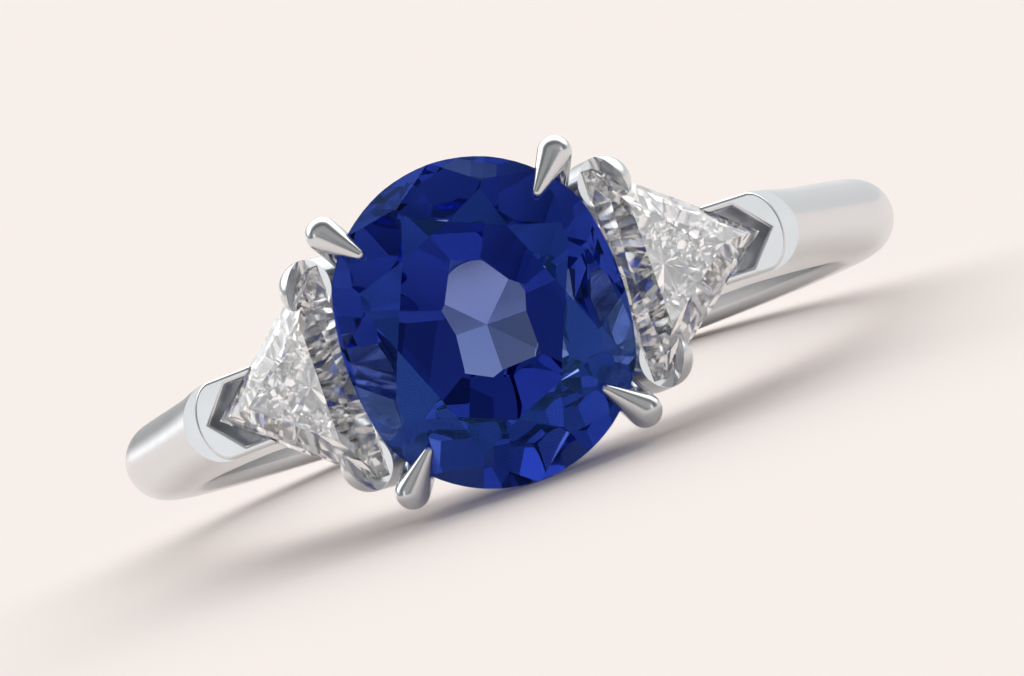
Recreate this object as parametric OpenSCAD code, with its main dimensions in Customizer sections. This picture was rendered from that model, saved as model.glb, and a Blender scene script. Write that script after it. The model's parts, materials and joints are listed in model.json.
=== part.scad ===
// Three stone ring: a cushion cut sapphire between two triangular brilliant diamonds, in polished platinum.
// It is drawn upright, with the finger along Y and the stones on top, and is then laid on its side.

/* [Finger] */
// Diameter of the finger hole
finger_d = 16.9; // [15.7:0.1:18.5]

/* [Shank] */
// Width of the band along the finger
shank_w = 1.94; // [1.84:0.02:1.96]
// Thickness of the band at the sides and the bottom
shank_t = 1.7; // [1.5:0.05:1.9]
// Rounding of the band's inner edges
comfort_r = 0.3; // [0.2:0.05:0.4]
// Thickness of the band under the stones
bridge_t = 0.65; // [0.5:0.05:0.75]
// Half length of the thin stretch of the band under the stones
bridge_x = 4.9; // [4.6:0.1:5.1]

/* [Shoulders] */
// Width of each cup across the band
cup_w = 1.98; // [1.98:0.02:2.06]
// Wall of each cup at its arms
cup_wall = 0.22; // [0.18:0.02:0.3]
// Distance from the ring's middle to the end of the cup's arms
arm_x = 5.15; // [5:0.05:5.3]
// Distance from the ring's middle to the middle of the cup's round end
cup_x = 6.6; // [6.5:0.02:6.7]
// Distance from the ring's middle to the point of the V inside the cup
notch_x = 7.12; // [7:0.02:7.2]
// Distance from the ring's middle to where the V inside the cup begins
notch_shoulder_x = 6.45; // [6.3:0.05:6.6]
// Angle round the band at which the shoulder leaves it
shoulder_start = 15; // [10:1:20]
// Height of the cup's rim over the girdle of the side stone
rim_over_girdle = 0.14; // [0.05:0.01:0.2]
// Drop and width of the ledge outside the rim
ledge = 0.16; // [0.1:0.02:0.24]

/* [Centre stone] */
// Width of the sapphire, along the band
stone_w = 6.88; // [6.6:0.02:7.1]
// Length of the sapphire, along the finger
stone_l = 7.96; // [7.6:0.02:8.2]
// Radius of the arcs of its long sides
side_arc_r = 6.8; // [6:0.1:8]
// Radius of the arcs of its ends
end_arc_r = 3.46; // [3.45:0.01:3.6]
// Height of the girdle's middle over the middle of the finger hole
girdle_z = 12.7; // [12.6:0.05:13]
// Thickness of the girdle
girdle_t = 0.14; // [0.1:0.02:0.2]
// Height of the crown over the girdle
crown_h = 1; // [0.95:0.01:1.05]
// Distance from the middle to the table's edges beside the long sides
table_side = 1.95; // [1.85:0.02:1.97]
// Distance from the middle to the table's edges beside the ends
table_end = 2.3; // [2.2:0.02:2.34]

/* [Side stones] */
// Length of each diamond's broad side before its corners are cut blunt, along the finger
side_w = 5.86; // [5.8:0.01:5.9]
// Length of each diamond from its broad side to its tip, before the sides are bowed
side_l = 4.07; // [4.02:0.01:4.1]
// Distance of the blunt broad corners from the diamond's middle line
side_corner_v = 2.62; // [2.58:0.01:2.64]
// Radius of the slightly bowed sides
side_bow_r = 60; // [54:2:70]
// Fall of each diamond towards its tip
side_tilt = 28; // [26:1:30]
// Distance from the ring's middle to the diamond's broad side
side_x = 3.3; // [3.28:0.02:3.36]
// Height of the broad side over the middle of the finger hole
side_z = 12.05; // [11.9:0.05:12.1]
// Height of the diamond's crown over its girdle
side_crown_h = 0.5; // [0.4:0.05:0.6]
// Thickness of the diamond's girdle
side_girdle_t = 0.1; // [0.08:0.02:0.14]

/* [Centre claws] */
// Radius of the round end of each teardrop claw
claw_r = 0.42; // [0.36:0.02:0.46]
// Radius of its point
claw_tip_r = 0.12; // [0.1:0.01:0.16]
// Azimuth of the claws, from the band's direction
claw_az = 48; // [46:1:50]
// Distance from the stone's axis to the middle of the round end
claw_reach = 4.36; // [4.3:0.02:4.44]
// Distance from the stone's axis to the point
claw_tip_reach = 3.34; // [3.2:0.02:3.5]

/* [Side claws] */
// Radius of the round claw at each broad corner
corner_claw_r = 0.68; // [0.64:0.01:0.7]
// Distance of that claw's middle from the broad side
corner_claw_u = 0.5; // [0.48:0.01:0.53]
// Distance of that claw's middle from the diamond's middle line
corner_claw_v = 2.22; // [2.18:0.01:2.26]

/* [Gallery] */
// Height of each rail
rail_h = 0.45; // [0.35:0.05:0.55]
// Width of each rail
rail_w = 0.38; // [0.3:0.02:0.45]

/* [Hidden] */
$fn = 96;

// Clearance between each stone and the metal
seat_gap = 0.03;
// Larger than the whole ring
far = 40;

finger_r = finger_d / 2;
shank_r = finger_r + shank_t;
bridge_r = finger_r + bridge_t;
// Distance from the ring's middle to the middle of the band's round face
band_mid_r = shank_r - shank_w / 2;

// The end arcs are moved from the middle by this much
end_arc_y = stone_l / 2 - end_arc_r;
// The end arcs take over from the side arcs past this azimuth
corner_az = 18;

// A tier of facets: slope, and height or depth off the girdle
STEEP = 0;
RISE = 1;
// A tier of the diamonds' facets also has azimuths, off each side's own
OFFSETS = 2;
crown_girdle_slope = 41;
// The crown's mains begin this far over the girdle, and its star facets have this slope
main_rise = 0.05;
star_slope = 21;
// Steps of the pavilion, from the girdle down, each with the depth at which it begins
pavilion_tiers = [[64, 0], [55, 0.62], [50, 1.33]];
pavilion_azimuths = [0, 40, 68, 90, 112, 140, 180, 220, 248, 270, 292, 320];
// The uneven facets under them, each by its azimuth and its reach at the depth where the culet facets begin
main_slope = 44.8;
culet_depth = 2.95;
pavilion_mains = [
    [77.6, 1.4],
    [43.7, 1.15],
    [-6, 1],
    [-81.4, 1.104],
    [-115.8, 1.15],
    [-177.6, 0.84],
    [142.3, 1.08]
];
// The flat facets that meet in the culet, lower by this much
culet_slope = 16;
culet_drop = 0.27;

// The diamond's three sides, by the azimuth that each faces. The tip lies at azimuth 0.
slant_az = 90 - atan(side_w / 2 / side_l);
side_faces = [180, slant_az, -slant_az];
slant_l = sqrt(pow(side_l, 2) + pow(side_w / 2, 2));
inradius = side_w * side_l / (side_w + 2 * slant_l);
// The end of the broad side from the inner middle, across and along that side
broad_corner = [inradius - pow(side_corner_v, 2) / (2 * side_bow_r), side_corner_v];
side_crown_tiers = [
    [40, 0, [-14, -1, 1, 14]],
    [31, 0.07, [-26, 0, 26]]
];
side_pavilion_tiers = [
    [56, 0, [-15, 0, 15]],
    [42, 0.36, [-7, 7]]
];

// Height over the girdle's middle of a centre claw's round end, and of its point
knuckle_rise = 0.14;
claw_tip_rise = 0.54;
// Foot of a centre claw, and how deep it is sunk in the bridge
claw_foot = [1.4, 0.66];
claw_foot_sink = 0.3;
// Rails of the centre head: height of the lower face, and inset from the sapphire's outline
upper_rail = [girdle_z - 1.8, 0.72];
lower_rail = [bridge_r - 0.1, 2];

// Rail under each diamond: inset from the outline, and drop of its upper face below the girdle
side_rail_inset = 0.12;
side_rail_drop = 0.28;
// Each post of a diamond's basket: the middle of its top and of its foot, with their radii
post_top = [3.72, 2.1, 11.5];
post_top_r = 0.46;
post_foot = [4.25, 0.62, 8.35];
post_foot_r = 0.4;
// Height of a corner claw under its round top, and the direction of the edge that laps over the slanted side
corner_claw_h = 0.8;
corner_lap_az = -68.5;
corner_lap = 0.2;
corner_lap_rise = 0.02;
// Distance by which the shoulder's axis stands outside the middle of the band's round face
shoulder_offset = 0.02;

// The ring's lowest point at the head is the sapphire's end, and at the back it is the band's edge
head_low_y = stone_l / 2;
head_low_z = girdle_z - girdle_t / 2;
lie_tilt = atan(head_low_y / (head_low_z + band_mid_r))
    - asin(shank_w / 2 / sqrt(pow(head_low_y, 2) + pow(head_low_z + band_mid_r, 2)));
floor_drop = band_mid_r * sin(lie_tilt) + shank_w / 2;
// The lying ring reaches from the table's lower corner in front to the band behind
table_z = girdle_z + girdle_t / 2 + crown_h;
front_reach = table_z * cos(lie_tilt) + table_corner(90) * sin(lie_tilt);
back_reach = band_mid_r * cos(lie_tilt) + shank_w / 2;

// Greatest reach of the sapphire's outline in a direction
function stone_reach(az) =
    let (folded = acos(abs(cos(az))))
    folded < corner_az
        ? side_arc_r - (side_arc_r - stone_w / 2) * cos(folded)
        : end_arc_r + end_arc_y * sin(folded);

// Greatest reach of the table's outline in the direction of one of its corners
function table_corner(az) =
    let (folded = acos(abs(cos(az))))
    folded < 30 ? table_side / cos(22.5)
    : folded > 60 ? table_end / cos(22.5)
    : (table_side + table_end) * cos(22.5) / (1 + cos(45));

// Greatest reach of one side of the diamond, off its azimuth: of the bow, or of a broad corner past its end
function side_reach(off) =
    abs(off) < 2
        ? side_bow_r - (side_bow_r - inradius) * cos(off)
        : broad_corner[0] * cos(off) + broad_corner[1] * sin(abs(off));

// Keeps what lies inside a facet's plane. The slope is from the girdle plane, past 90 for the pavilion.
module inside_facet(az, slope, distance) {
    rotate([0, slope, az])
        translate([-far / 2, -far / 2, distance - far])
            cube(far);
}

// A crown facet that passes over the girdle's edge at a reach and a rise
module crown_facet(az, slope, reach, rise) {
    inside_facet(az, slope, sin(slope) * reach + cos(slope) * rise);
}

// A pavilion facet that passes under the girdle's edge at a reach and a depth
module pavilion_facet(az, slope, reach, depth) {
    inside_facet(az, 180 - slope, sin(slope) * reach + cos(slope) * depth);
}

// The sapphire's outline, grown by a margin
module cushion(grow) {
    intersection() {
        union() {
            for (side = [-1, 1])
                translate([0, side * end_arc_y])
                    circle(end_arc_r + grow);
            square([2 * (end_arc_r + grow), 2 * end_arc_y], center = true);
        }
        translate([side_arc_r - stone_w / 2, 0])
            circle(side_arc_r + grow);
        translate([stone_w / 2 - side_arc_r, 0])
            circle(side_arc_r + grow);
    }
}

// The faceted sapphire about the middle of its girdle, grown by a margin
module cushion_cut(grow) {
    half_girdle = girdle_t / 2 + grow;
    top = crown_h + half_girdle;
    depth = far / 4;
    intersection() {
        translate([0, 0, -depth])
            linear_extrude(depth + top)
                cushion(grow);
        intersection_for(az = [11.25 : 22.5 : 348.75])
            crown_facet(az, crown_girdle_slope, stone_reach(az) + grow, half_girdle);
        intersection_for(az = [0 : 45 : 315]) {
            reach = stone_reach(az);
            slope = atan((crown_h - main_rise) / (reach - table_corner(az)));
            crown_facet(az, slope, reach + grow, half_girdle + main_rise);
        }
        intersection_for(az = [22.5 : 45 : 337.5]) {
            edge = abs(cos(az)) > cos(45) ? table_side : table_end;
            crown_facet(az, star_slope, edge + grow, top);
        }
        intersection_for(tier = pavilion_tiers)
            intersection_for(az = pavilion_azimuths)
                pavilion_facet(az, tier[STEEP], tier_reach(az, tier) + grow, tier[RISE] + half_girdle);
        intersection_for(main = pavilion_mains)
            pavilion_facet(main[0], main_slope, main[1] + grow, culet_depth + half_girdle);
        intersection_for(az = [22.5 : 45 : 337.5])
            pavilion_facet(az, culet_slope, grow, culet_depth + culet_drop + half_girdle);
    }
}

// Reach of the stone's pavilion at the depth where a tier begins
function tier_reach(az, tier, i = 0) =
    pavilion_tiers[i] == tier
        ? stone_reach(az)
        : tier_reach(az, tier, i + 1)
            - (pavilion_tiers[i + 1][RISE] - pavilion_tiers[i][RISE]) / tan(pavilion_tiers[i][STEEP]);

// The diamond's outline about its inner middle, grown by a margin
module triangle_outline(grow) {
    intersection() {
        intersection_for(face = side_faces)
            rotate(face)
                translate([inradius - side_bow_r, 0])
                    circle(side_bow_r + grow);
        translate([-inradius - grow, -side_corner_v - grow])
            square([side_l + 2 * grow, 2 * (side_corner_v + grow)]);
    }
}

// The faceted diamond about the inner middle of its girdle, grown by a margin
module triangle_cut(grow) {
    half_girdle = side_girdle_t / 2 + grow;
    top = side_crown_h + half_girdle;
    depth = far / 4;
    intersection() {
        translate([0, 0, -depth])
            linear_extrude(depth + top)
                triangle_outline(grow);
        intersection_for(face = side_faces)
            intersection_for(tier = side_crown_tiers)
                intersection_for(off = tier[OFFSETS])
                    crown_facet(face + off, tier[STEEP], side_reach(off) + grow, half_girdle + tier[RISE]);
        intersection_for(face = side_faces)
            intersection_for(tier = side_pavilion_tiers)
                intersection_for(off = tier[OFFSETS]) {
                    reach = side_reach(off) - tier[RISE] / tan(side_pavilion_tiers[0][STEEP]);
                    pavilion_facet(face + off, tier[STEEP], reach + grow, half_girdle + tier[RISE]);
                }
    }
}

// Places a child from the diamond's own frame, on the right of the ring
module at_side() {
    translate([side_x, 0, side_z])
        rotate([0, side_tilt, 0])
            children();
}

// Places a child on the chosen side of the ring, 1 for right and -1 for left
module on_side(s) {
    if (s > 0) children();
    else mirror([1, 0, 0]) children();
}

module centre_stone_upright(grow = 0) {
    translate([0, 0, girdle_z])
        cushion_cut(grow);
}

module side_stone_upright(s, grow = 0) {
    on_side(s)
        at_side()
            translate([inradius, 0, 0])
                triangle_cut(grow);
}

// A round rod between two points, tapered, with a ball at its far end
module tapered_rod(a, ra, b, rb) {
    span = b - a;
    d = norm(span);
    taper = (ra - rb) / d;
    narrow = sqrt(1 - taper * taper);
    translate(a)
        rotate([0, acos(span[2] / d), atan2(span[1], span[0])]) {
            translate([0, 0, ra * taper])
                cylinder(d - (ra - rb) * taper, ra * narrow, rb * narrow);
            translate([0, 0, d])
                sphere(rb);
        }
}

// The band's section: flat inside with rounded edges, half round outside
module shank_section() {
    translate([band_mid_r, 0])
        circle(shank_w / 2);
    translate([finger_r + comfort_r, -shank_w / 2])
        square([band_mid_r - finger_r - comfort_r, shank_w]);
    translate([finger_r, comfort_r - shank_w / 2])
        square([band_mid_r - finger_r, shank_w - 2 * comfort_r]);
    for (side = [-1, 1])
        translate([finger_r + comfort_r, side * (shank_w / 2 - comfort_r)])
            circle(comfort_r);
}

// The whole band, thinned under the stones
module shank() {
    difference() {
        rotate([90, 0, 0])
            rotate_extrude()
                shank_section();
        difference() {
            translate([-bridge_x, -shank_w, 0])
                cube([2 * bridge_x, 2 * shank_w, far]);
            rotate([90, 0, 0])
                cylinder(far, bridge_r, bridge_r, center = true);
        }
    }
}

// The plan of the hollow inside a cup: parallel arms that close in a V
module notch_plan() {
    half = cup_w / 2 - cup_wall;
    polygon([
        [arm_x - 1, -half],
        [notch_shoulder_x, -half],
        [notch_x, 0],
        [notch_shoulder_x, half],
        [arm_x - 1, half]
    ]);
}

// The shoulder that rises from the band, and the cup in its top for the diamond's tip
module shoulder() {
    foot_r = band_mid_r + shoulder_offset;
    foot = foot_r * [cos(shoulder_start), sin(shoulder_start)];
    head = [cup_x, side_z - (cup_x - side_x) * tan(side_tilt)];
    lean = atan2(head[0] - foot[0], head[1] - foot[1]);
    length = norm(head - foot) + cup_w;
    difference() {
        translate([foot[0], 0, foot[1]])
            rotate([0, lean, 0]) {
                cylinder(length, cup_w / 2, cup_w / 2);
                translate([-finger_r, -cup_w / 2, 0])
                    cube([finger_r, cup_w, length]);
            }
        // Above the rim
        at_side()
            translate([-far / 2, -far / 2, rim_over_girdle])
                cube(far);
        // Past the arms' ends
        translate([arm_x - far, -far / 2, 0])
            cube(far);
        // The hollow, down to the thin stretch of the band
        difference() {
            linear_extrude(far)
                notch_plan();
            rotate([90, 0, 0])
                cylinder(far, bridge_r, bridge_r, center = true);
        }
        ledge_cut();
    }
}

// What is cut away outside the rim of a cup, round its outer end, to leave a ledge
module ledge_cut() {
    end_u = (cup_x - side_x) / cos(side_tilt);
    at_side()
        translate([0, 0, rim_over_girdle - ledge])
            difference() {
                translate([0, -far / 2, 0])
                    cube(far);
                translate([end_u, 0, -ledge])
                    cylinder(cup_w, cup_w / 2 - ledge / 2, cup_w / 2 - ledge / 2);
                translate([-cup_w, -cup_w, -ledge])
                    cube([end_u + cup_w, 2 * cup_w, cup_w]);
            }
}

// Rail under the edge of a diamond, its two corner claws and their posts
module side_basket() {
    at_side()
        translate([inradius, 0, -rail_h - side_rail_drop])
            linear_extrude(rail_h)
                difference() {
                    triangle_outline(-side_rail_inset);
                    triangle_outline(-side_rail_inset - rail_w);
                }
    for (side = [-1, 1]) {
        at_side()
            translate([corner_claw_u, side * corner_claw_v, 0])
                corner_claw(side);
        tapered_rod(
            [post_top[0], side * post_top[1], post_top[2]],
            post_top_r,
            [post_foot[0], side * post_foot[1], post_foot[2]],
            post_foot_r
        );
    }
}

// Round claw at a broad corner, lapping over the slanted edge alone
module corner_claw(side) {
    difference() {
        union() {
            translate([0, 0, -corner_claw_h])
                cylinder(corner_claw_h, corner_claw_r, corner_claw_r);
            sphere(corner_claw_r);
        }
        mirror([0, side < 0 ? 1 : 0, 0])
            rotate(corner_lap_az)
                translate([-far / 2, corner_lap - far, corner_lap_rise])
                    cube(far);
    }
}

// Four claws on two rails
module centre_head() {
    for (sx = [-1, 1])
        for (sy = [-1, 1]) {
            dir = [sx * cos(claw_az), sy * sin(claw_az), 0];
            foot = [sx * claw_foot[0], sy * claw_foot[1], bridge_r - claw_foot_sink];
            knuckle = claw_reach * dir + [0, 0, girdle_z + knuckle_rise];
            point = claw_tip_reach * dir + [0, 0, girdle_z + claw_tip_rise];
            tapered_rod(foot, claw_r, knuckle, claw_r);
            tapered_rod(knuckle, claw_r, point, claw_tip_r);
        }
    translate([0, 0, upper_rail[0]])
        linear_extrude(rail_h)
            difference() {
                cushion(-upper_rail[1]);
                cushion(-upper_rail[1] - rail_w);
            }
    // The lower rail stays solid until the opening under the culet is cut
    translate([0, 0, lower_rail[0]])
        linear_extrude(rail_h)
            cushion(-lower_rail[1]);
}

// The opening under the culet, through the lower rail and the band, that lets light into the stone
module culet_opening() {
    translate([0, 0, finger_r - 1])
        linear_extrude(bridge_t + rail_h + 1)
            cushion(-lower_rail[1] - rail_w);
}

// All the metal, soldered into one
module mount_upright() {
    difference() {
        union() {
            shank();
            centre_head();
            for (s = [-1, 1]) {
                on_side(s) shoulder();
                on_side(s) side_basket();
            }
        }
        rotate([90, 0, 0])
            cylinder(far, finger_r, finger_r, center = true);
        culet_opening();
        centre_stone_upright(seat_gap);
        for (s = [-1, 1])
            side_stone_upright(s, seat_gap);
    }
}

// Lays the upright ring on its side, on the sapphire's end and the band's edge
module lying() {
    translate([0, (front_reach - back_reach) / 2, floor_drop])
        rotate([90 - lie_tilt, 0, 0])
            children();
}

module mount() {
    color("gainsboro") lying() mount_upright();
}

module centre_stone() {
    color("royalblue") lying() centre_stone_upright();
}

module side_stone_left() {
    color("white") lying() side_stone_upright(-1);
}

module side_stone_right() {
    color("white") lying() side_stone_upright(1);
}

mount();
centre_stone();
side_stone_left();
side_stone_right();
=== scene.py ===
import json
from math import asin, atan2, cos, hypot, pi, radians, sin

import bmesh
import bpy
from mathutils import Matrix, Vector


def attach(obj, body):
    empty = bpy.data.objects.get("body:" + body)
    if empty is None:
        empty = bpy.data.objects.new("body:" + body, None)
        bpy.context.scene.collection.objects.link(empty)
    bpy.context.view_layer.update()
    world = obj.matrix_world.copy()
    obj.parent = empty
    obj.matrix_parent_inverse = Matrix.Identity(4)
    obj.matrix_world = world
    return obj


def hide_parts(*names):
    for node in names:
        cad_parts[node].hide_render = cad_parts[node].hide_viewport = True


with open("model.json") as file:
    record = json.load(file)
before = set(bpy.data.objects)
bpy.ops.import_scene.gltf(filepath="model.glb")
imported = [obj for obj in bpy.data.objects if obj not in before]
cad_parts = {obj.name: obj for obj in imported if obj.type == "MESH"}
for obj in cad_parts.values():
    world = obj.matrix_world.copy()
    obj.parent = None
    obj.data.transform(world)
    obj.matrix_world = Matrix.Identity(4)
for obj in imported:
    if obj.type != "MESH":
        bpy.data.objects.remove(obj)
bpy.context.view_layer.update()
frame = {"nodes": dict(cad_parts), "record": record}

# The ring is modelled upright in millimetres: X along the row of stones, Y along the finger, Z up through
# the sapphire. LIE then lays it in the row frame, where its finger hole is.
HOLE = next(m for m in frame["record"]["mounts"] if m["name"] == "finger_hole")
HOLE_AXIS = Vector(HOLE["axis"]).normalized()
LIE = (
    Matrix.Translation(HOLE["pos_m"])
    @ Matrix.Rotation(atan2(HOLE_AXIS.z, HOLE_AXIS.y), 4, "X")
    @ Matrix.Scale(0.001, 4)
)

# Band: the shank, and the thinner bridge under the stones. COMFORT_R rounds its inner edges.
FINGER_R = HOLE["dims"]["r_mm"]
SHANK_W = 1.94
SHANK_T = 1.7
COMFORT_R = 0.3
BRIDGE_T = 0.65
SHANK_R = FINGER_R + SHANK_T
BAND_MID_R = SHANK_R - SHANK_W / 2
# Height at which the shoulders are soldered to the shank
SEAM_Z = 1.2

# Shoulders: where each starts to rise, is narrowest, becomes a cup and ends, as angles up the band
SHOULDER_START = radians(16)
NECK_AT = radians(44)
CUP_AT = radians(53)
SHOULDER_TOP = radians(72)
NECK_W = 1.9
# Cups: outer width, wall, and height of the rim over the diamond's girdle
CUP_W = 1.98
CUP_WALL = 0.22
CUP_RIM = 0.14
CUP_DEPTH = 0.62
# Distances from the ring's middle: ends of the arms, where the cup's round end starts, and the V notch
ARM_X = 5.15
CUP_X = 6.6
NOTCH_SHOULDER_X = 6.45
NOTCH_X = 7.12
NOTCH_SLOPE = atan2(CUP_W / 2 - CUP_WALL, NOTCH_X - NOTCH_SHOULDER_X)
# The ledge round the cup's end: its height, and the reach of the lip above it
LEDGE = 0.16
LEDGE_END = 0.91
LIP_R = 0.09

# Stones
GIRDLE_Z = 12.7
STONE_W = 6.88
STONE_L = 7.96
SIDE_X = 3.3
SIDE_Z = 12.05
SIDE_TILT = radians(28)
SIDE_W = 5.86
SIDE_L = 4.07
SEAT_GAP = 0.03

# Centre claws: the drop's two radii, its direction, and how far out and how high its ends lie
CLAW_R = 0.42
CLAW_TIP_R = 0.12
CLAW_AZ = radians(48)
CLAW_REACH = 4.36
CLAW_TIP_REACH = 3.34
KNUCKLE_RISE = 0.14
CLAW_TIP_RISE = 0.54
CLAW_FOOT = (1.4, 0.66)
CLAW_FOOT_SINK = 0.3

# Corner claws, placed in the diamond's own frame, and the straight edge that each laps over the stone
CORNER_R = 0.68
CORNER_U = 0.5
CORNER_V = 2.22
CORNER_H = 0.8
LAP = 0.2
LAP_RISE = 0.02
LAP_AZ = radians(-68.5)

# Rails: the wire, then for the centre head's two their height and inset from the sapphire's outline
RAIL_H = 0.45
RAIL_W = 0.38
RAIL_EDGE_R = 0.08
UPPER_RAIL = (GIRDLE_Z - 1.8, 0.72)
LOWER_RAIL = (FINGER_R + BRIDGE_T - 0.1, 2)
# The rail under a diamond: drop below the girdle, and inset at the broad side, its corners and the tip
BASKET_DROP = 0.28
BASKET_NEAR = 0.22
BASKET_CORNER = 0.44
BASKET_TIP = 0.31
BASKET_CORNER_R = 0.2
BASKET_EDGE_R = 0.05

# Posts of the diamonds' baskets
POST_TOP = (3.72, 2.1, 11.5)
POST_TOP_R = 0.46
POST_FOOT = (4.25, 0.62, 8.35)
POST_FOOT_R = 0.4

# Steps of a full turn of the band, and the angle from which an edge shows as one
BAND_STEPS = 240
CREASE = radians(30)

# Turns a shape from the right diamond's own frame, with its table level, to the upright ring
AT_SIDE = Matrix.Translation((SIDE_X, 0, SIDE_Z)) @ Matrix.Rotation(SIDE_TILT, 4, "Y")
MIRROR_X = Matrix.Scale(-1, 4, (1, 0, 0))
MIRROR_Y = Matrix.Scale(-1, 4, (0, 1, 0))


# Modelling steps

def edit(ob):
    """Opens one piece alone in edit mode, with nothing selected."""
    bpy.ops.object.select_all(action="DESELECT")
    ob.select_set(True)
    bpy.context.view_layer.objects.active = ob
    bpy.ops.object.mode_set(mode="EDIT")
    bpy.ops.mesh.select_all(action="DESELECT")


def leave():
    bpy.ops.object.mode_set(mode="OBJECT")


def added():
    """The primitive just added, with its place in its mesh and all of it selected in edit mode."""
    ob = bpy.context.object
    bpy.ops.object.transform_apply(location=True, rotation=True, scale=True)
    edit(ob)
    bpy.ops.mesh.select_all(action="SELECT")
    return ob


def pick(ob, kind, test):
    """Selects the vertices, edges or faces that pass a test, and nothing else."""
    bpy.ops.mesh.select_mode(type=kind)
    bpy.ops.mesh.select_all(action="DESELECT")
    mesh = bmesh.from_edit_mesh(ob.data)
    for part in {"VERT": mesh.verts, "EDGE": mesh.edges, "FACE": mesh.faces}[kind]:
        if test(part):
            part.select_set(True)
    bmesh.update_edit_mesh(ob.data)


def close_up(ob):
    """Merges doubles and turns every face outwards."""
    bpy.ops.mesh.select_all(action="SELECT")
    bpy.ops.mesh.remove_doubles(threshold=0.0005)
    bpy.ops.mesh.normals_make_consistent(inside=False)


def slice_off(point, normal):
    """Cuts away what lies past a plane, and closes the cut."""
    bpy.ops.mesh.select_all(action="SELECT")
    bpy.ops.mesh.bisect(plane_co=point, plane_no=normal, use_fill=True, clear_outer=True)


def modify(ob, kind, **settings):
    """Applies one modifier."""
    bpy.ops.object.select_all(action="DESELECT")
    ob.select_set(True)
    bpy.context.view_layer.objects.active = ob
    modifier = ob.modifiers.new(kind, kind)
    for name, value in settings.items():
        setattr(modifier, name, value)
    bpy.ops.object.modifier_apply(modifier=modifier.name)


def combine(ob, other, operation, keep=False):
    """Joins another solid to a piece, or cuts it out."""
    modify(ob, "BOOLEAN", operation=operation, solver="EXACT", object=other)
    if not keep:
        bpy.data.objects.remove(other)


def copy_of(ob, name, turn=Matrix.Identity(4)):
    """A copy with a mesh of its own. A mirrored one is turned right side out."""
    made = ob.copy()
    made.data = ob.data.copy()
    made.name = name
    bpy.context.collection.objects.link(made)
    made.data.transform(turn)
    if turn.determinant() < 0:
        made.data.flip_normals()
    return made


def finished(ob, name):
    """Lays a modelled piece of metal in the row frame, with its finish."""
    ob.name = name
    ob.data.name = name
    ob.data.transform(LIE)
    ob.data.materials.clear()
    ob.data.materials.append(PLATINUM)
    bpy.ops.object.select_all(action="DESELECT")
    ob.select_set(True)
    bpy.context.view_layer.objects.active = ob
    bpy.ops.object.shade_smooth_by_angle(angle=CREASE)
    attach(ob, "root")
    return ob


def drawn_rod(stations, sides=40):
    """A round rod drawn out along Z through (height, radius) stations, one extrusion each."""
    bpy.ops.object.select_all(action="DESELECT")
    height, radius = stations[0]
    start = (0, 0, height)
    bpy.ops.mesh.primitive_circle_add(vertices=sides, radius=radius, fill_type="NGON", location=start)
    ob = added()
    for next_height, next_radius in stations[1:]:
        rise = (0, 0, next_height - height)
        bpy.ops.mesh.extrude_region_move(TRANSFORM_OT_translate={"value": rise})
        ratio = next_radius / radius
        bpy.ops.transform.resize(value=(ratio, ratio, 1), center_override=(0, 0, next_height))
        height, radius = next_height, next_radius
    close_up(ob)
    leave()
    return ob


def aim(ob, start, end):
    """Turns a rod drawn along Z to run from one point towards another."""
    turn = (Vector(end) - Vector(start)).to_track_quat("Z", "Y").to_matrix().to_4x4()
    ob.data.transform(Matrix.Translation(start) @ turn)
    return ob


def domed(radius, centre, first, last, steps):
    """Stations of a dome: a circle of a radius about a height, from one slope angle to another."""
    angles = [first + (last - first) * i / steps for i in range(steps + 1)]
    return [(centre + radius * sin(a), radius * cos(a)) for a in angles]


# Finishes

def linear(hexa):
    """An sRGB hex colour as linear red, green, blue and alpha."""
    parts = [int(hexa[i:i + 2], 16) / 255 for i in (1, 3, 5)]
    return [c / 12.92 if c <= 0.04045 else ((c + 0.055) / 1.055) ** 2.4 for c in parts] + [1]


def add(tree, kind, settings=(), **links):
    """Adds a node, sets its properties and its sockets, and links sockets to other nodes' outputs."""
    made = tree.nodes.new(kind)
    for name, value in dict(settings).items():
        if isinstance(name, str) and hasattr(made, name):
            setattr(made, name, value)
        else:
            made.inputs[name].default_value = value
    for name, source in links.items():
        key = int(name[1:]) if name[0] == "i" and name[1:].isdigit() else name.replace("_", " ")
        tree.links.new(source, made.inputs[key])
    return made


def new_material(name):
    material = bpy.data.materials.new(name)
    material.use_nodes = True
    material.node_tree.nodes.clear()
    return material, material.node_tree


# Platinum alloy, cast, filed and polished on a felt buff: a white mirror, a little soft where the buff
# left its finest haze, with hairlines too shallow to see except in the edge of a reflection.
def polished_platinum():
    material, tree = new_material("polished_platinum")
    place = add(tree, "ShaderNodeTexCoord").outputs["Object"]
    # The haze left by the buff varies over about 1.5 mm
    clouds = {"Scale": 1 / 0.0015, "Detail": 3}
    haze = add(tree, "ShaderNodeTexNoise", clouds, Vector=place).outputs["Fac"]
    soft = {"To Min": 0.19, "To Max": 0.29}
    rough = add(tree, "ShaderNodeMapRange", soft, Value=haze).outputs["Result"]
    # The hairlines are 0.06 mm apart, drawn coarser than the real ones of about 0.01 mm so that they show
    stretch = add(tree, "ShaderNodeMapping", {"Scale": (1, 0.2, 1)}, Vector=place).outputs["Vector"]
    hairlines = {"Scale": 1 / 0.00006, "Detail": 1}
    lines = add(tree, "ShaderNodeTexNoise", hairlines, Vector=stretch).outputs["Fac"]
    shallow = {"Strength": 0.02, "Distance": 0.00001}
    bump = add(tree, "ShaderNodeBump", shallow, Height=lines).outputs["Normal"]
    shader = add(
        tree,
        "ShaderNodeBsdfPrincipled",
        {"Base Color": linear("#DCDFE2"), "Metallic": 1.0},
        Roughness=rough,
        Normal=bump,
    )
    add(tree, "ShaderNodeOutputMaterial", Surface=shader.outputs["BSDF"])
    return material


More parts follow.
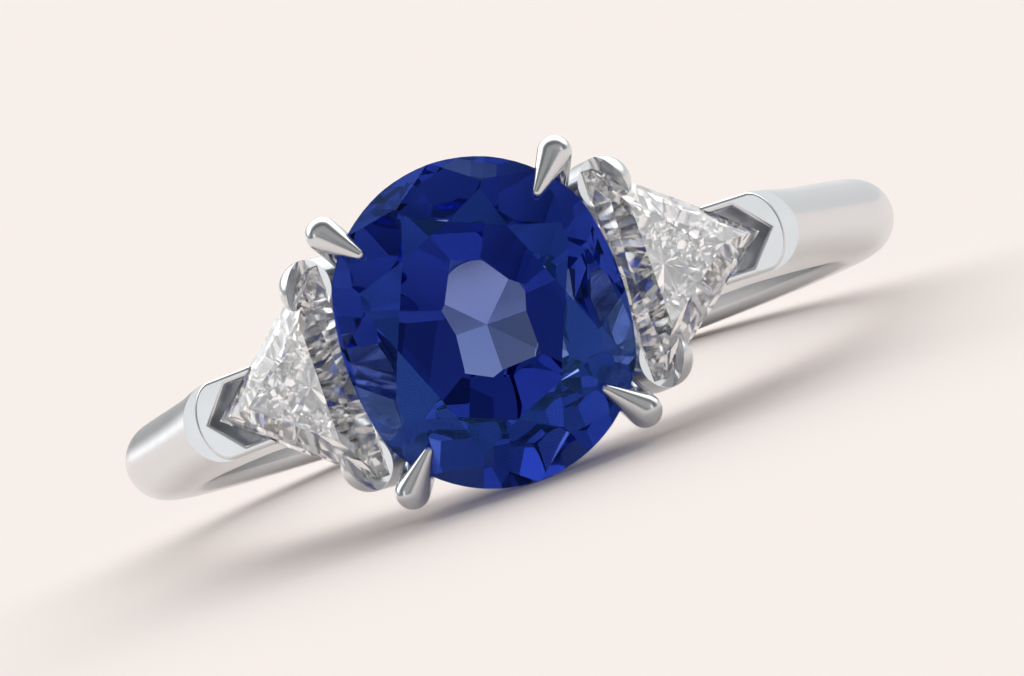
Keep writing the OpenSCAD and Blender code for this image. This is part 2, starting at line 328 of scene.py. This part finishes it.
# Natural blue sapphire, cut and polished on a lap: clear corundum whose blue deepens with the length of
# the light's way through it. The facets' own reflections are tinted blue, a painted shade that stands in
# for a photographer's dark cards, so that no grey veil lies over the blue.
def cut_sapphire():
    material, tree = new_material("cut_sapphire")
    surface = {
        "Base Color": linear("#FFFFFF"),
        "Roughness": 0.0,
        "IOR": 1.77,
        "Transmission Weight": 1.0,
        # Painted shade: this blue tint dims the red and green of every reflection off the facets
        "Specular Tint": linear("#5EA3FF"),
    }
    facets = add(tree, "ShaderNodeBsdfPrincipled", surface)
    # 1 mm of it takes a third of the red, a quarter of the green and a tenth of the blue
    blue = add(tree, "ShaderNodeVolumeAbsorption", {"Color": linear("#5490E4"), "Density": 450.0})
    add(tree, "ShaderNodeOutputMaterial", Surface=facets.outputs["BSDF"], Volume=blue.outputs["Volume"])
    return material


# Colourless diamond, cut and polished on a scaife: bright reflections with no colour of their own, a
# trace softer than a perfect polish gives, so that the smallest run together as they do to the eye.
def cut_diamond():
    material, tree = new_material("cut_diamond")
    glass = add(tree, "ShaderNodeBsdfGlass", {"Color": linear("#FFFFFF"), "Roughness": 0.03, "IOR": 2.42})
    add(tree, "ShaderNodeOutputMaterial", Surface=glass.outputs["BSDF"])
    return material


PLATINUM = polished_platinum()
SAPPHIRE = cut_sapphire()
DIAMOND = cut_diamond()


# Stones: the cut solids as they are, each facet flat

def stones():
    for name, material in (
        ("centre_stone", SAPPHIRE),
        ("side_stone_left", DIAMOND),
        ("side_stone_right", DIAMOND),
    ):
        stone = frame["nodes"][name]
        stone.data.materials.clear()
        stone.data.materials.append(material)
        stone.data.shade_flat()


def seat_cutter(node):
    """A copy of a cut stone in the upright frame, grown by the gap that the metal keeps from it."""
    cutter = copy_of(frame["nodes"][node], "cutter", LIE.inverted())
    cutter.parent = None
    edit(cutter)
    close_up(cutter)
    bpy.ops.transform.shrink_fatten(value=SEAT_GAP, use_even_offset=True)
    leave()
    return cutter


# Band

def spun_band(outer_r):
    """A closed hoop: its section starts as a plane, is rounded, and is spun round the finger."""
    bpy.ops.object.select_all(action="DESELECT")
    middle = (FINGER_R + outer_r) / 2
    bpy.ops.mesh.primitive_plane_add(size=1, location=(middle, 0, 0))
    bpy.context.object.scale = (outer_r - FINGER_R, SHANK_W, 1)
    ob = added()
    if outer_r - FINGER_R > SHANK_W / 2:
        pick(ob, "VERT", lambda v: v.co.x > middle)
        bpy.ops.mesh.bevel(offset=SHANK_W / 2 - 0.0001, segments=14, affect="VERTICES")
        pick(ob, "VERT", lambda v: v.co.x < FINGER_R + COMFORT_R / 2)
    else:
        bpy.ops.mesh.select_all(action="SELECT")
    bpy.ops.mesh.bevel(offset=min(COMFORT_R, (outer_r - FINGER_R) / 3), segments=6, affect="VERTICES")
    bpy.ops.mesh.select_all(action="SELECT")
    bpy.ops.mesh.delete(type="ONLY_FACE")
    bpy.ops.mesh.select_all(action="SELECT")
    bpy.ops.mesh.remove_doubles(threshold=0.001)
    bpy.ops.mesh.spin(steps=BAND_STEPS, angle=2 * pi, center=(0, 0, 0), axis=(0, 1, 0))
    close_up(ob)
    return ob


def shank():
    """The band, up to where the shoulders begin."""
    ob = spun_band(SHANK_R)
    slice_off((0, 0, SEAM_Z), (0, 0, 1))
    close_up(ob)
    leave()
    return finished(ob, "shank")


def bridge():
    """The thin stretch of the band under the stones."""
    ob = spun_band(FINGER_R + BRIDGE_T)
    slice_off((0, 0, 0), (0, 0, -1))
    slice_off((ARM_X, 0, 0), (1, 0, 0))
    slice_off((-ARM_X, 0, 0), (-1, 0, 0))
    close_up(ob)
    leave()
    # Open under the culet, to the lower rail's inner edge
    opening = drawn_rod([(FINGER_R - 1, 1), (GIRDLE_Z, 1)], 96)
    rail_inside = LOWER_RAIL[1] + RAIL_W
    opening.data.transform(Matrix.Diagonal((STONE_W / 2 - rail_inside, STONE_L / 2 - rail_inside, 1, 1)))
    combine(ob, opening, "DIFFERENCE")
    return finished(ob, "bridge")


# Shoulders

def smooth(x, low, high):
    """From 0 below the low value to 1 above the high one, with no kink."""
    t = min(1, max(0, (x - low) / (high - low)))
    return t * t * (3 - 2 * t)


def shoulder():
    """The right shoulder: a stretch of band whose round face rises on a tangent to the cup's rim."""
    ob = spun_band(SHANK_R)
    slice_off((0, 0, SEAM_Z), (0, 0, -1))
    slice_off((0, 0, 0), (-sin(SHOULDER_TOP), 0, cos(SHOULDER_TOP)))
    mesh = bmesh.from_edit_mesh(ob.data)
    for v in mesh.verts:
        angle = atan2(v.co.z, v.co.x)
        r = hypot(v.co.x, v.co.z)
        if angle > SHOULDER_START and r > BAND_MID_R - 0.001:
            lift = SHANK_R / cos(angle - SHOULDER_START) - SHANK_R
            v.co.x += lift * cos(angle)
            v.co.z += lift * sin(angle)
        at_cup = smooth(angle, NECK_AT, CUP_AT)
        at_neck = smooth(angle, SHOULDER_START, NECK_AT) * (1 - at_cup)
        v.co.y *= 1 + at_neck * (NECK_W / SHANK_W - 1) + at_cup * (CUP_W / SHANK_W - 1)
    bmesh.update_edit_mesh(ob.data)
    slice_off((ARM_X, 0, 0), (-1, 0, 0))
    leave()

    # Turned so that the rim is level, it is cut at the ledge, and the lip is drawn up from there
    ob.data.transform(AT_SIDE.inverted())
    edit(ob)
    floor = CUP_RIM - LEDGE
    slice_off((0, 0, floor), (0, 0, 1))
    close_up(ob)
    pick(ob, "FACE", lambda f: f.normal.z > 0.999 and f.calc_center_median().z > floor - 0.001)
    end_u = (CUP_X - SIDE_X) / cos(SIDE_TILT)
    bpy.ops.mesh.extrude_region_move(TRANSFORM_OT_translate={"value": (0, 0, 0)})
    mesh = bmesh.from_edit_mesh(ob.data)
    reach = max(v.co.x for v in mesh.verts if v.select) - end_u
    for v in mesh.verts:
        if v.select and v.co.x > end_u:
            v.co.x = end_u + (v.co.x - end_u) * LEDGE_END / reach
    bmesh.update_edit_mesh(ob.data)
    bpy.ops.mesh.extrude_region_move(TRANSFORM_OT_translate={"value": (0, 0, LEDGE)})
    close_up(ob)
    leave()
    ob.data.transform(AT_SIDE)
    return ob


def cup_hollow():
    """What is cut out of a cup: parallel walls that close in a V, with a sloping floor."""
    bpy.ops.object.select_all(action="DESELECT")
    half = CUP_W / 2 - CUP_WALL
    # It starts off the arms' ends, and is taller than the cup is deep
    start = ARM_X - 1
    bpy.ops.mesh.primitive_cube_add(size=1, location=((start + NOTCH_X) / 2, 0, GIRDLE_Z - 3))
    bpy.context.object.scale = (NOTCH_X - start, 2 * half, 8)
    ob = added()
    slice_off((NOTCH_X, 0, 0), (sin(NOTCH_SLOPE), cos(NOTCH_SLOPE), 0))
    slice_off((NOTCH_X, 0, 0), (sin(NOTCH_SLOPE), -cos(NOTCH_SLOPE), 0))
    down = AT_SIDE.to_3x3() @ Vector((0, 0, -1))
    slice_off(AT_SIDE @ Vector((0, 0, CUP_RIM - CUP_DEPTH)), down)
    close_up(ob)
    leave()
    return ob


def round_lip(ob):
    """Rounds the rim of the right cup, inside and out, as the buff leaves it."""
    ob.data.transform(AT_SIDE.inverted())
    edit(ob)

    def at_lip(edge):
        level = all(abs(v.co.z - CUP_RIM) < 0.001 for v in edge.verts)
        end = all((AT_SIDE @ v.co).x < ARM_X + 0.001 for v in edge.verts)
        return level and not end and edge.calc_face_angle(0) > radians(30)

    pick(ob, "EDGE", at_lip)
    bpy.ops.mesh.bevel(offset=LIP_R, segments=5, affect="EDGES", clamp_overlap=False)
    close_up(ob)
    leave()
    ob.data.transform(AT_SIDE)


def shoulders():
    right = shoulder()
    combine(right, cup_hollow(), "DIFFERENCE")
    round_lip(right)
    combine(right, seat_cutter("side_stone_right"), "DIFFERENCE")
    left = copy_of(right, "shoulder_left", MIRROR_X)
    finished(right, "shoulder_right")
    finished(left, "shoulder_left")
    # The rim, the arms' sides and the notch's walls stay flat beside the rounded lip
    flats = [AT_SIDE.to_3x3() @ Vector((0, 0, 1)), Vector((0, 1, 0))]
    flats += [Vector((sin(NOTCH_SLOPE), side * cos(NOTCH_SLOPE), 0)) for side in (1, -1)]
    for ob, turn in ((right, LIE), (left, LIE @ MIRROR_X)):
        ways = [(turn.to_3x3() @ way).normalized() for way in flats]
        for face in ob.data.polygons:
            if max(abs(face.normal.dot(way)) for way in ways) > 0.9999:
                face.use_smooth = False


# Centre head

def teardrop_claw():
    """The upper right claw: a teardrop that laps over the girdle, on a round post."""
    out = Vector((cos(CLAW_AZ), sin(CLAW_AZ), 0))
    knuckle = CLAW_REACH * out + Vector((0, 0, GIRDLE_Z + KNUCKLE_RISE))
    point = CLAW_TIP_REACH * out + Vector((0, 0, GIRDLE_Z + CLAW_TIP_RISE))
    length = (point - knuckle).length
    taper = asin((CLAW_R - CLAW_TIP_R) / length)
    drop = drawn_rod(
        domed(CLAW_R, 0, radians(-86), taper, 14) + domed(CLAW_TIP_R, length, taper, radians(84), 8)
    )
    aim(drop, knuckle, point)
    foot = Vector((*CLAW_FOOT, FINGER_R + BRIDGE_T - CLAW_FOOT_SINK))
    run = (knuckle - foot).length
    post = drawn_rod([(0, CLAW_R), (run, CLAW_R)])
    aim(post, foot, knuckle)
    combine(drop, post, "UNION")
    return drop


def rail(base_z, inset):
    """A rail of the head: a ring of rounded square wire, drawn to the sapphire's outline."""
    outer_w, outer_l = STONE_W - 2 * inset, STONE_L - 2 * inset
    bpy.ops.object.select_all(action="DESELECT")
    middle = (outer_w / 2 - RAIL_W / 2, 0, base_z + RAIL_H / 2)
    bpy.ops.mesh.primitive_plane_add(size=1, location=middle, rotation=(pi / 2, 0, 0))
    bpy.context.object.scale = (RAIL_W, RAIL_H, 1)
    ob = added()
    bpy.ops.mesh.bevel(offset=RAIL_EDGE_R, segments=4, affect="VERTICES")
    bpy.ops.mesh.select_all(action="SELECT")
    bpy.ops.mesh.delete(type="ONLY_FACE")
    bpy.ops.mesh.select_all(action="SELECT")
    bpy.ops.mesh.spin(steps=96, angle=2 * pi, center=(0, 0, 0), axis=(0, 0, 1))
    close_up(ob)
    bpy.ops.transform.resize(value=(1, outer_l / outer_w, 1), center_override=(0, 0, base_z))
    leave()
    return ob


def centre_head():
    seat = seat_cutter("centre_stone")
    claw = teardrop_claw()
    combine(claw, seat, "DIFFERENCE", keep=True)
    turns = {
        "claw_upper_left": MIRROR_X,
        "claw_lower_right": MIRROR_Y,
        "claw_lower_left": MIRROR_X @ MIRROR_Y,
    }
    for name, turn in turns.items():
        finished(copy_of(claw, name, turn), name)
    finished(claw, "claw_upper_right")

    upper = rail(*UPPER_RAIL)
    combine(upper, seat, "DIFFERENCE")
    finished(upper, "head_rail_upper")
    lower = rail(*LOWER_RAIL)
    finished(lower, "head_rail_lower")


# Side baskets

def corner_claw():
    """The claw at the right diamond's upper corner: a round post whose dome laps over the stone."""
    claw = drawn_rod([(-CORNER_H, CORNER_R)] + domed(CORNER_R, 0, 0, radians(87), 16))
    # Above the stone, a block stands for what is filed off past the lap's straight edge
    block = 4
    bpy.ops.object.select_all(action="DESELECT")
    bpy.ops.mesh.primitive_cube_add(size=block, location=(0, LAP - block / 2, LAP_RISE + block / 2))
    cutter = added()
    leave()
    cutter.data.transform(Matrix.Rotation(LAP_AZ, 4, "Z"))
    combine(claw, cutter, "DIFFERENCE")
    claw.data.transform(AT_SIDE @ Matrix.Translation((CORNER_U, CORNER_V, 0)))
    return claw


def side_rail():
    """The rail under the right diamond: a triangle of square wire, cut to the stone's seat."""
    bpy.ops.object.select_all(action="DESELECT")
    bpy.ops.mesh.primitive_circle_add(vertices=3, radius=1, fill_type="NGON", location=(0, 0, 0))
    ob = added()
    mesh = bmesh.from_edit_mesh(ob.data)
    low = -RAIL_H - BASKET_DROP
    near, far, half = BASKET_NEAR, SIDE_L - BASKET_TIP, SIDE_W / 2 - BASKET_CORNER
    for v, corner in zip(mesh.verts, ((near, half, low), (near, -half, low), (far, 0, low))):
        v.co = corner
    bmesh.update_edit_mesh(ob.data)
    bpy.ops.mesh.select_all(action="SELECT")
    bpy.ops.mesh.bevel(offset=BASKET_CORNER_R, segments=5, affect="VERTICES")
    bpy.ops.mesh.select_all(action="SELECT")
    bpy.ops.mesh.extrude_region_move(TRANSFORM_OT_translate={"value": (0, 0, RAIL_H)})
    close_up(ob)
    leave()
    # Its inner edge is the same triangle, shrunk about the middle by the wire's width
    inradius = half * (far - near) / (half + hypot(half, far - near))
    middle = Matrix.Translation((near + inradius, 0, low + RAIL_H / 2))
    shrink = 1 - RAIL_W / inradius
    inner = copy_of(ob, "inner", middle @ Matrix.Diagonal((shrink, shrink, 2, 1)) @ middle.inverted())
    combine(ob, inner, "DIFFERENCE")
    modify(ob, "BEVEL", width=BASKET_EDGE_R, segments=3, angle_limit=radians(40))
    ob.data.transform(AT_SIDE)
    return ob


def side_post():
    """A tapered post of the right diamond's basket, with a domed top."""
    start, end = Vector(POST_FOOT), Vector(POST_TOP)
    run = (end - start).length
    top = domed(POST_TOP_R, run, radians(10), radians(86), 8)
    return aim(drawn_rod([(0, POST_FOOT_R), (run, POST_TOP_R)] + top), start, end)


def side_baskets():
    seat = seat_cutter("side_stone_right")
    claw = corner_claw()
    lower = copy_of(claw, "lower", MIRROR_Y)
    wire = side_rail()
    post = side_post()
    other_post = copy_of(post, "other_post", MIRROR_Y)
    pieces = {
        "corner_claw_upper": claw,
        "corner_claw_lower": lower,
        "basket_rail": wire,
        "basket_post_upper": post,
        "basket_post_lower": other_post,
    }
    for name, ob in pieces.items():
        combine(ob, seat, "DIFFERENCE", keep=True)
        finished(copy_of(ob, name + "_left", MIRROR_X), name + "_left")
        finished(ob, name + "_right")
    bpy.data.objects.remove(seat)


# Camera, floor and light

# Where the sapphire's middle lies in the picture, with the picture's size and the focal length, in pixels
STONE_PX = (484.0, 322.5)
PICTURE = (1024, 676)
FOCAL_PX = 9270.0
# Distance to the sapphire in mm, and the camera's turn off the line straight down on its table
DISTANCE = 220.0
YAW = radians(2.1)
PITCH = radians(2.9)
ROLL = radians(19.3)


def camera():
    """Looks at the sapphire from the photograph's side, with the row of stones climbing to the right."""
    turn = LIE.to_3x3().normalized()
    stone = LIE @ Vector((0, 0, GIRDLE_Z))
    back = (turn @ Vector((sin(YAW), -sin(PITCH), 1))).normalized()
    up = turn @ Vector((0, 1, 0))
    up = (up - up.dot(back) * back).normalized()
    side = up.cross(back)
    side, up = side * cos(ROLL) - up * sin(ROLL), side * sin(ROLL) + up * cos(ROLL)
    distance = DISTANCE * 0.001
    place = stone + back * distance
    off_x = (STONE_PX[0] - PICTURE[0] / 2) / FOCAL_PX * distance
    off_y = (PICTURE[1] / 2 - STONE_PX[1]) / FOCAL_PX * distance
    back = (place - (stone - side * off_x - up * off_y)).normalized()
    up = (up - up.dot(back) * back).normalized()
    pose = Matrix((up.cross(back), up, back)).transposed().to_4x4()
    pose.translation = place
    lens = bpy.data.cameras.new("camera")
    lens.sensor_width = 36
    lens.lens = FOCAL_PX / PICTURE[0] * 36
    lens.clip_start = 0.01
    lens.clip_end = 5
    ob = bpy.data.objects.new("camera", lens)
    bpy.context.collection.objects.link(ob)
    ob.matrix_world = pose
    bpy.context.scene.camera = ob


def floor():
    bpy.ops.object.select_all(action="DESELECT")
    bpy.ops.mesh.primitive_plane_add(size=6, location=(0, 0, 0))
    ob = bpy.context.object
    ob.name = "floor"
    material, tree = new_material("pale_paper")
    shader = add(tree, "ShaderNodeBsdfDiffuse", {"Color": linear("#F8EFEA")})
    add(tree, "ShaderNodeOutputMaterial", Surface=shader.outputs["BSDF"])
    ob.data.materials.append(material)


# Softboxes round the ring, as azimuth from the camera's side, elevation, half width and half height in
# degrees, and strength. The large ones stand behind, where the sapphire's crown doesn't mirror them. Low
# down behind they are what its culet facets show, and the lowest is what the left shoulder's upper edge
# mirrors. The narrow ones in front light the cups' rims.
SOFTBOXES = [
    (140, 12, 42, 16, 0.6),
    (220, 8, 40, 8, 0.22),
    (217, 1, 18, 3, 1.3),
    (218, 22, 48, 7, 0.6),
    (180, 50, 65, 24, 1.9),
    (180, 75, 60, 12, 0.92),
    (0, 35, 60, 26, 0.28),
    (54.5, 8, 6, 12, 1.08),
    (-58.5, 8, 6, 12, 1.2),
]
# Half the soft edge of a box, in radians
BOX_EDGE = 0.06
# The rest of the room
ROOM = 0.13
# Round the lens the studio is dark, and the deep facets send that darkness back: azimuth, elevation and
# radius in degrees, and what light is left
CAMERA_SHADE = (0, 10.8, 9, 0.02)


def studio():
    world = bpy.data.worlds.new("studio")
    bpy.context.scene.world = world
    world.use_nodes = True
    tree = world.node_tree
    tree.nodes.clear()
    way = add(tree, "ShaderNodeTexCoord").outputs["Generated"]

    def sums(operation, a, b):
        made = add(tree, "ShaderNodeMath", {"operation": operation})
        for socket, value in zip(made.inputs, (a, b)):
            if isinstance(value, (int, float)):
                socket.default_value = value
            else:
                tree.links.new(value, socket)
        return made.outputs[0]

    def along(direction):
        settings = {"operation": "DOT_PRODUCT", 1: direction}
        return add(tree, "ShaderNodeVectorMath", settings, i0=way).outputs["Value"]

    def step(value, low, high):
        settings = {"interpolation_type": "SMOOTHSTEP", "From Min": low, "From Max": high}
        return add(tree, "ShaderNodeMapRange", settings, Value=value).outputs["Result"]

    def pointing(azimuth, elevation):
        a, e = radians(azimuth), radians(elevation)
        return Vector((sin(a) * cos(e), -cos(a) * cos(e), sin(e)))

    light = ROOM
    for azimuth, elevation, half_w, half_h, strength in SOFTBOXES:
        ahead = pointing(azimuth, elevation)
        across = pointing(azimuth + 90, 0)
        above = across.cross(ahead)
        box = strength
        for axis, half in ((across, radians(half_w)), (above, radians(half_h))):
            off = sums("ABSOLUTE", sums("ARCTAN2", along(axis), along(ahead)), 0)
            box = sums("MULTIPLY", step(off, half + BOX_EDGE, half - BOX_EDGE), box)
        light = sums("ADD", light, box)
    azimuth, elevation, half, level = CAMERA_SHADE
    edge = cos(radians(half))
    shade = step(along(pointing(azimuth, elevation)), edge - 0.03, edge + 0.01)
    lit = sums("MULTIPLY", light, sums("SUBTRACT", 1.0, shade))
    light = sums("ADD", lit, sums("MULTIPLY", shade, level))
    background = add(tree, "ShaderNodeBackground", {"Color": linear("#FFFFFF")}, Strength=light)
    add(tree, "ShaderNodeOutputWorld", Surface=background.outputs["Background"])


scene = bpy.context.scene
scene.view_settings.view_transform = "Standard"
scene.cycles.max_bounces = 24
scene.cycles.glossy_bounces = 16
scene.cycles.transmission_bounces = 24

stones()
band = shank()
bridge()
shoulders()
centre_head()
side_baskets()
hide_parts("mount")
camera()
floor()
studio()

bpy.context.view_layer.update()
